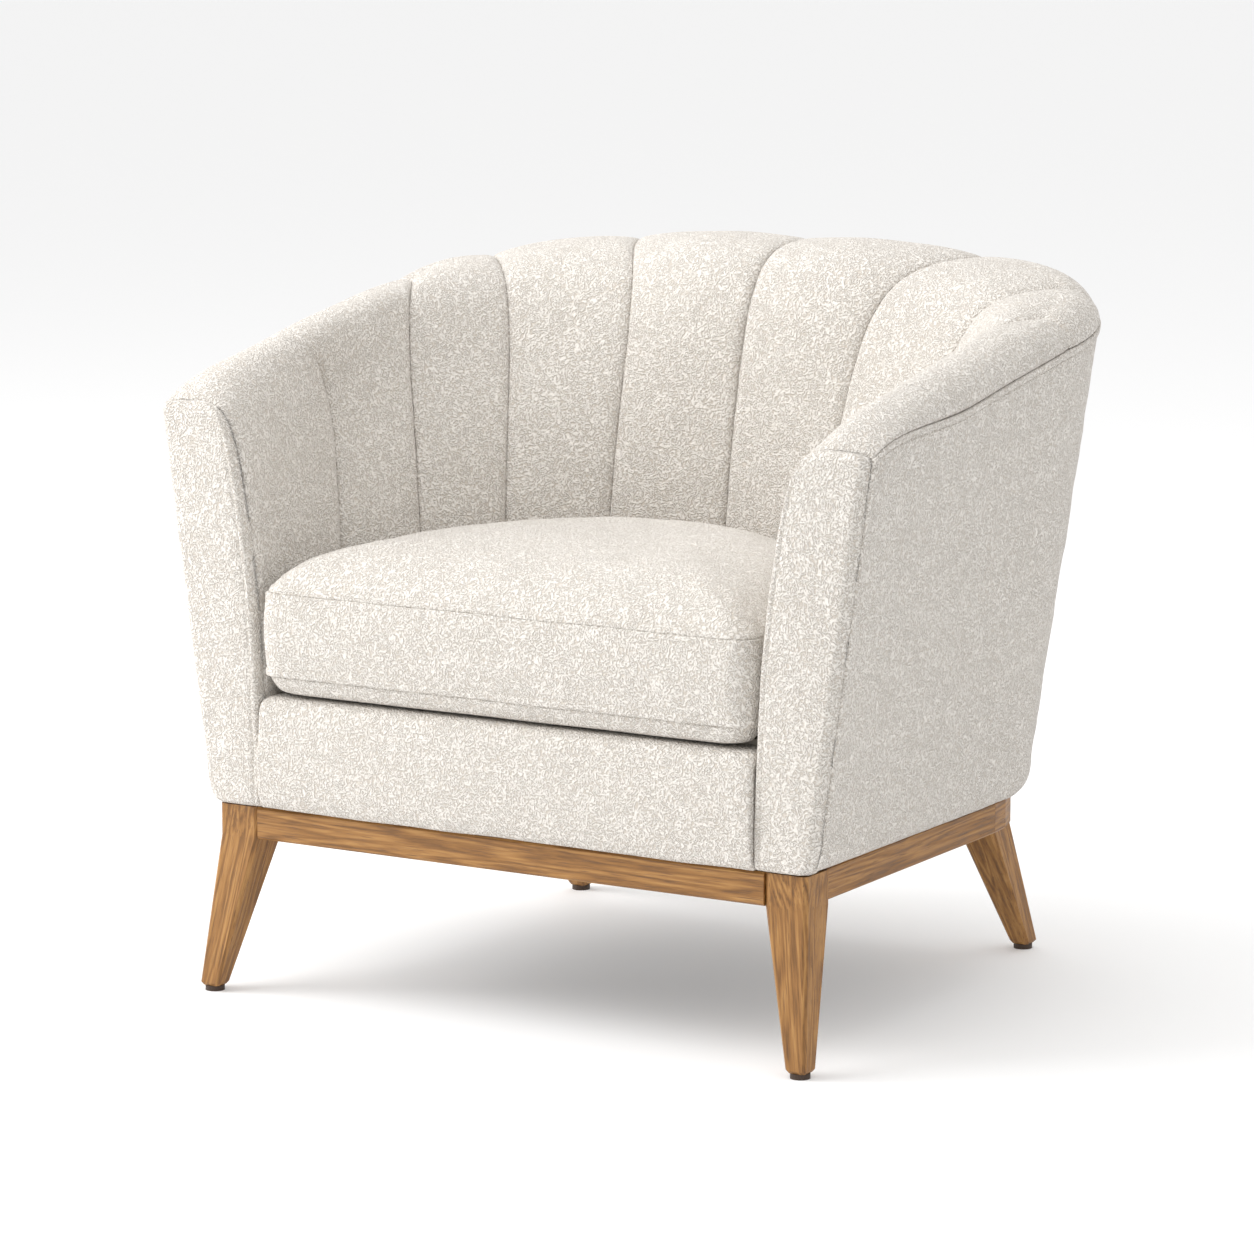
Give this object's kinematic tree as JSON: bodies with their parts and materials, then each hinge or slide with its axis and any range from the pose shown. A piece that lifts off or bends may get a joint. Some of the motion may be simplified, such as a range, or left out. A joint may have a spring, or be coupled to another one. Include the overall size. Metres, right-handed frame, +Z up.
{
  "type": "upholstered armchair",
  "caption": "Low tub armchair with vertical channel tufting inside the back and arms, a loose box seat cushion and a tapered timber leg base.",
  "frame": {"origin": "middle of the chair's bounding box at floor level", "axes": "+Z up, +X to the right as seen from the front, the chair's front faces -Y"},
  "size_m": [0.8288, 0.6744, 0.7485],
  "materials": {
    "boucle": "matt off-white looped boucle",
    "oak": "satin oiled oak",
    "frame_timber": "sawn",
    "foam": "open cell foam",
    "webbing": "woven elastic webbing",
    "lining": "non-woven lining",
    "glide": "moulded nylon",
    "steel": "zinc plated"
  },
  "bodies": {
    "chair_frame": {"front_rail": "oak", "rear_rail": "oak", "side_rail_left": "oak", "side_rail_right": "oak", "rear_corner_rail_left": "oak", "rear_corner_rail_right": "oak", "front_leg_left": "oak", "front_leg_right": "oak", "rear_leg_left": "oak", "rear_leg_right": "oak", "front_corner_block_left": "frame_timber", "front_corner_block_right": "frame_timber", "rear_corner_block_left": "frame_timber", "rear_corner_block_right": "frame_timber", "seat_frame_front": "frame_timber", "seat_frame_rear": "frame_timber", "seat_frame_side_left": "frame_timber", "seat_frame_side_right": "frame_timber", "arm_front_board_left": "frame_timber", "arm_front_board_right": "frame_timber", "corner_upright_left": "frame_timber", "corner_upright_right": "frame_timber", "arm_top_rail_left": "frame_timber", "arm_top_rail_right": "frame_timber", "back_top_rail": "frame_timber", "front_leg_bolt_left": "steel", "front_leg_bolt_right": "steel", "rear_leg_bolt_left": "steel", "rear_leg_bolt_right": "steel", "front_glide_left": "glide", "front_glide_right": "glide", "rear_glide_left": "glide", "rear_glide_right": "glide", "seat_web_long_1": "webbing", "seat_web_long_2": "webbing", "seat_web_long_3": "webbing", "seat_web_cross_1": "webbing", "seat_web_cross_2": "webbing", "seat_deck": "lining", "dust_cover": "lining", "channel_1_left": "boucle", "channel_1_right": "boucle", "channel_2_left": "boucle", "channel_2_right": "boucle", "channel_3_left": "boucle", "channel_3_right": "boucle", "channel_4_left": "boucle", "channel_4_right": "boucle", "channel_5_left": "boucle", "channel_5_right": "boucle", "arm_front_panel_left": "boucle", "arm_front_panel_right": "boucle", "outside_arm_left": "boucle", "outside_arm_right": "boucle", "outside_back": "boucle", "front_border": "boucle"},
    "seat_cushion": {"cushion_top": "boucle", "cushion_boxing": "boucle", "cushion_bottom": "boucle", "cushion_foam_core": "foam"}
  },
  "joints": [
    {"name": "seat_cushion_lift", "type": "slide", "parent": "chair_frame", "child": "seat_cushion", "axis": [0, 0, 1], "range_m": [0, 0.45]}
  ]
}
